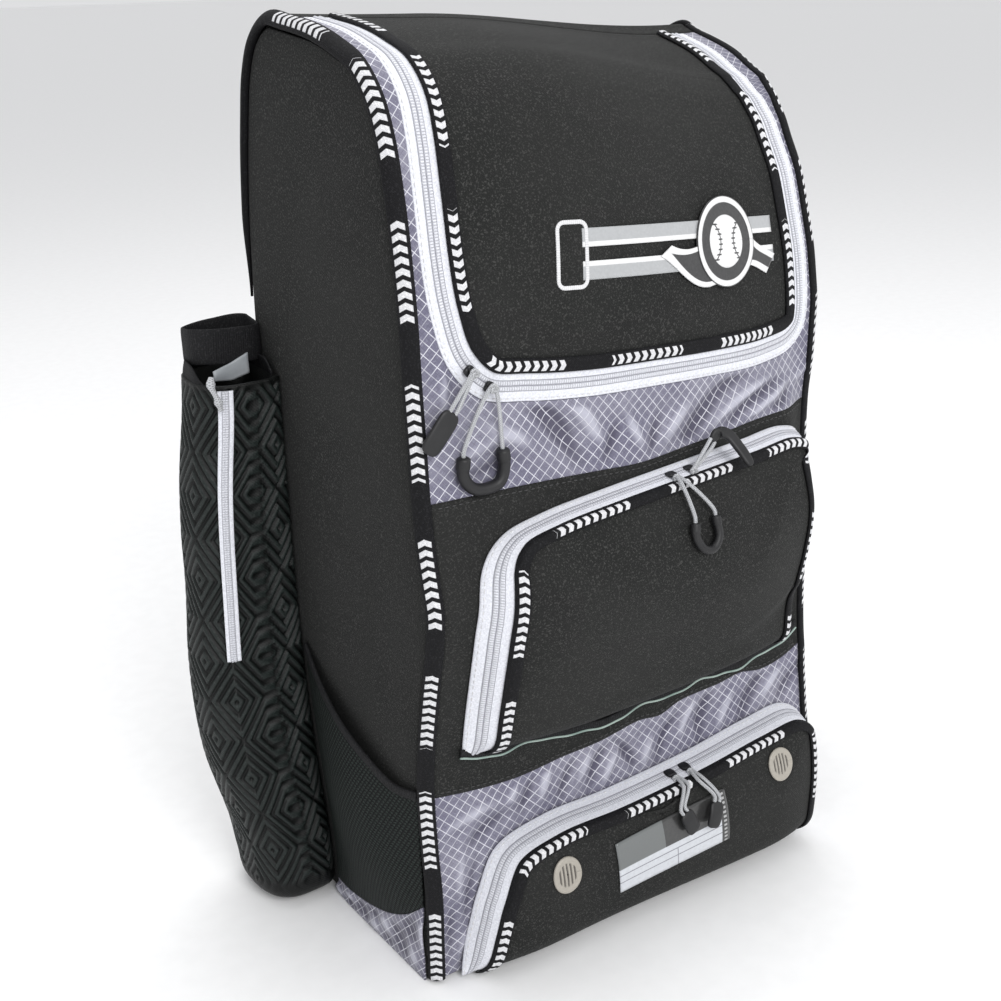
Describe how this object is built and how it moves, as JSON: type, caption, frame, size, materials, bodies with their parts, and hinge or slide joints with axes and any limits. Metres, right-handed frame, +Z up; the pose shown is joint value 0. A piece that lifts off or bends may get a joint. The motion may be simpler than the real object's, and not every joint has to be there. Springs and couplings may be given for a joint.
{
  "type": "baseball bat backpack",
  "caption": "Upright sports backpack with a zipped top flap, zipped front pockets, side bat sleeves with holding loops, mesh side pockets, padded shoulder straps and a haul loop.",
  "frame": {"origin": "middle of the base on the floor", "axes": "+Z up, the front with its pockets faces -Y, +X to the viewer's right"},
  "size_m": [0.4904, 0.3085, 0.6243],
  "materials": {
    "cloth": "matte heather weave",
    "ripstop": "satin ripstop with a pale diamond grid",
    "zipper_tape": "woven tape with two coil lines",
    "binding": "matte woven binding with pale ticks",
    "mesh": "fine ribbed mesh",
    "embossed_cloth": "embossed with nested diamonds",
    "webbing": "matte webbing",
    "cord": "braided cord",
    "stripes": "satin print",
    "emblem": "satin print",
    "tab": "satin",
    "label": "printed card behind clear film",
    "rubber": "satin moulded rubber",
    "vent": "bronze satin"
  },
  "bodies": {
    "root": {"lower_front_panel": "ripstop", "middle_front_panel": "cloth", "back_panel": "cloth", "flap_zipper": "zipper_tape", "flap_binding": "binding", "top_flap": "cloth", "yoke": "ripstop", "middle_pocket_zipper": "zipper_tape", "middle_pocket_binding": "binding", "middle_pocket": "cloth", "shoe_pocket_zipper": "zipper_tape", "shoe_pocket_binding": "binding", "shoe_pocket": "cloth", "flap_stripes": "stripes", "flap_emblem": "emblem", "id_label": "label", "vent_left": "vent", "vent_right": "vent", "side_panel_left": "cloth", "piping_left": "binding", "bat_sleeve_left": "embossed_cloth", "sleeve_zipper_left": "zipper_tape", "bat_strap_left": "webbing", "strap_tab_left": "tab", "sleeve_pull_left": "cord", "mesh_pocket_left": "mesh", "side_boot_left": "ripstop", "side_panel_right": "cloth", "piping_right": "binding", "bat_sleeve_right": "embossed_cloth", "sleeve_zipper_right": "zipper_tape", "bat_strap_right": "webbing", "strap_tab_right": "tab", "sleeve_pull_right": "cord", "mesh_pocket_right": "mesh", "side_boot_right": "ripstop", "base_panel": "cloth", "flap_pull_a_slider": "rubber", "flap_pull_a_cord": "cord", "flap_pull_a_end": "rubber", "flap_pull_b_slider": "rubber", "flap_pull_b_cord": "cord", "flap_pull_b_end": "rubber", "middle_pull_a_slider": "rubber", "middle_pull_a_cord": "cord", "middle_pull_a_end": "rubber", "middle_pull_b_slider": "rubber", "middle_pull_b_cord": "cord", "middle_pull_b_end": "rubber", "shoe_pull_a_slider": "rubber", "shoe_pull_a_cord": "cord", "shoe_pull_a_end": "rubber", "shoe_pull_b_slider": "rubber", "shoe_pull_b_cord": "cord", "shoe_pull_b_end": "rubber", "shoulder_strap_left": "cloth", "strap_webbing_left": "webbing", "shoulder_strap_right": "cloth", "strap_webbing_right": "webbing", "haul_loop": "webbing"}
  },
  "joints": []
}
